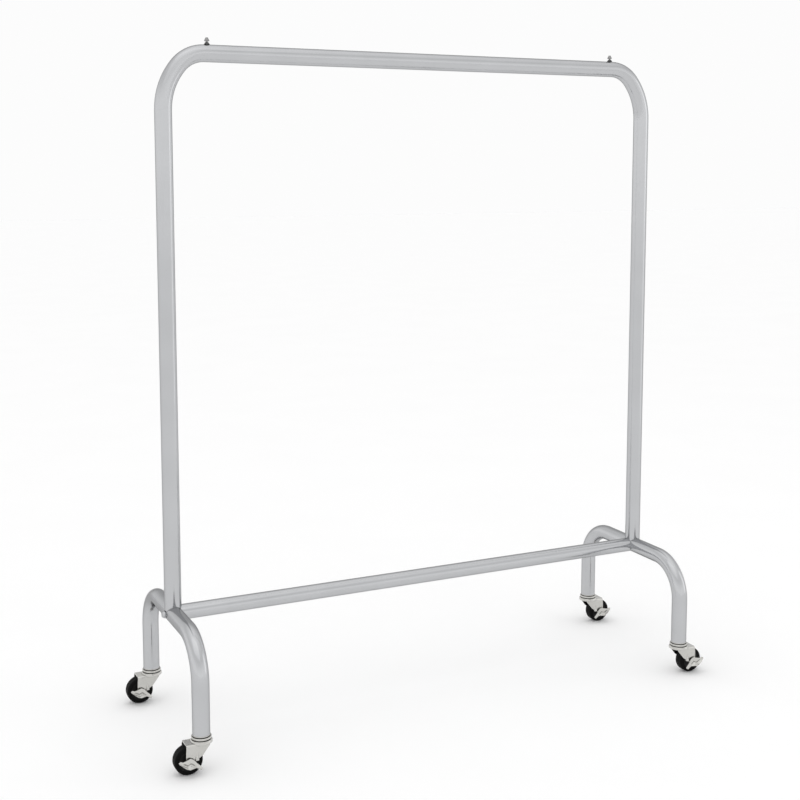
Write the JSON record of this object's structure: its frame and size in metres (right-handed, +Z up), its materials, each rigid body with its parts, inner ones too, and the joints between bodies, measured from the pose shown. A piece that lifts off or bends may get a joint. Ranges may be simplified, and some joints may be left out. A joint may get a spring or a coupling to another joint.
{
  "type": "rolling clothes rack",
  "caption": "Tubular clothes rack on swivel casters: arched leg frames, tall uprights with rounded corners, a hanging rail and a low cross bar.",
  "frame": {"origin": "on the floor, under the middle of the rack", "axes": "+X along the hanging rail, -Y towards the front, +Z up"},
  "size_m": [1.3736, 0.467, 1.5551],
  "materials": {
    "satin_tube": "satin plated steel tube",
    "weld": "smoothed and plated weld",
    "zinc_plate": "bright zinc plated sheet steel",
    "plain_steel": "plain bright steel",
    "stud_metal": "turned and plated",
    "stud_washer": "dark grey moulded washer",
    "black_plastic": "black moulded plastic",
    "black_rubber": "smooth black rubber"
  },
  "bodies": {
    "frame": {"left_leg_arch": "satin_tube", "right_leg_arch": "satin_tube", "left_upright": "satin_tube", "right_upright": "satin_tube", "top_rail": "satin_tube", "cross_bar": "satin_tube", "upright_welds": "weld", "rail_joiners": "plain_steel", "rail_studs": "stud_metal", "stud_washers": "stud_washer", "stud_nuts": "plain_steel", "cross_bar_plugs": "plain_steel", "cross_bar_bolts": "satin_tube", "stem_sockets": "zinc_plate", "caster_stems": "zinc_plate", "grip_rings": "plain_steel", "leg_washers": "black_plastic", "bearing_caps": "zinc_plate", "race_seals": "black_plastic", "swivel_balls": "plain_steel"},
    "left_front_swivel": {"left_front_fork": "zinc_plate", "left_front_axle": "zinc_plate", "left_front_axle_sleeve": "plain_steel", "left_front_brake_pin": "zinc_plate"},
    "left_front_wheel": {"left_front_wheel_core": "black_plastic", "left_front_tyre": "black_rubber"},
    "left_front_brake": {"left_front_brake_lever": "zinc_plate"},
    "left_back_swivel": {"left_back_fork": "zinc_plate", "left_back_axle": "zinc_plate", "left_back_axle_sleeve": "plain_steel", "left_back_brake_pin": "zinc_plate"},
    "left_back_wheel": {"left_back_wheel_core": "black_plastic", "left_back_tyre": "black_rubber"},
    "left_back_brake": {"left_back_brake_lever": "zinc_plate"},
    "right_front_swivel": {"right_front_fork": "zinc_plate", "right_front_axle": "zinc_plate", "right_front_axle_sleeve": "plain_steel", "right_front_brake_pin": "zinc_plate"},
    "right_front_wheel": {"right_front_wheel_core": "black_plastic", "right_front_tyre": "black_rubber"},
    "right_front_brake": {"right_front_brake_lever": "zinc_plate"},
    "right_back_swivel": {"right_back_fork": "zinc_plate", "right_back_axle": "zinc_plate", "right_back_axle_sleeve": "plain_steel", "right_back_brake_pin": "zinc_plate"},
    "right_back_wheel": {"right_back_wheel_core": "black_plastic", "right_back_tyre": "black_rubber"},
    "right_back_brake": {"right_back_brake_lever": "zinc_plate"}
  },
  "joints": [
    {"name": "left_front_swivel_turn", "type": "hinge", "parent": "frame", "child": "left_front_swivel", "pos_m": [-0.625, -0.2045, 0.07275], "axis": [0, 0, 1], "continuous": true},
    {"name": "left_front_wheel_spin", "type": "hinge", "parent": "left_front_swivel", "child": "left_front_wheel", "pos_m": [-0.6558, -0.2045, 0.031], "axis": [0, 1, 0], "continuous": true},
    {"name": "left_front_brake_turn", "type": "hinge", "parent": "left_front_swivel", "child": "left_front_brake", "pos_m": [-0.6558, -0.2263, 0.031], "axis": [0.9041, 0, -0.4274], "range_deg": [0, 45]},
    {"name": "left_back_swivel_turn", "type": "hinge", "parent": "frame", "child": "left_back_swivel", "pos_m": [-0.625, 0.2045, 0.07275], "axis": [0, 0, 1], "continuous": true},
    {"name": "left_back_wheel_spin", "type": "hinge", "parent": "left_back_swivel", "child": "left_back_wheel", "pos_m": [-0.6558, 0.2045, 0.031], "axis": [0, 1, 0], "continuous": true},
    {"name": "left_back_brake_turn", "type": "hinge", "parent": "left_back_swivel", "child": "left_back_brake", "pos_m": [-0.6558, 0.1827, 0.031], "axis": [0.9041, 0, -0.4274], "range_deg": [0, 45]},
    {"name": "right_front_swivel_turn", "type": "hinge", "parent": "frame", "child": "right_front_swivel", "pos_m": [0.625, -0.2045, 0.07275], "axis": [0, 0, 1], "continuous": true},
    {"name": "right_front_wheel_spin", "type": "hinge", "parent": "right_front_swivel", "child": "right_front_wheel", "pos_m": [0.6558, -0.2045, 0.031], "axis": [0, 1, 0], "continuous": true},
    {"name": "right_front_brake_turn", "type": "hinge", "parent": "right_front_swivel", "child": "right_front_brake", "pos_m": [0.6558, -0.2263, 0.031], "axis": [0.9041, 0, 0.4274], "range_deg": [0, 45]},
    {"name": "right_back_swivel_turn", "type": "hinge", "parent": "frame", "child": "right_back_swivel", "pos_m": [0.625, 0.2045, 0.07275], "axis": [0, 0, 1], "continuous": true},
    {"name": "right_back_wheel_spin", "type": "hinge", "parent": "right_back_swivel", "child": "right_back_wheel", "pos_m": [0.6558, 0.2045, 0.031], "axis": [0, 1, 0], "continuous": true},
    {"name": "right_back_brake_turn", "type": "hinge", "parent": "right_back_swivel", "child": "right_back_brake", "pos_m": [0.6558, 0.1827, 0.031], "axis": [0.9041, 0, 0.4274], "range_deg": [0, 45]}
  ]
}
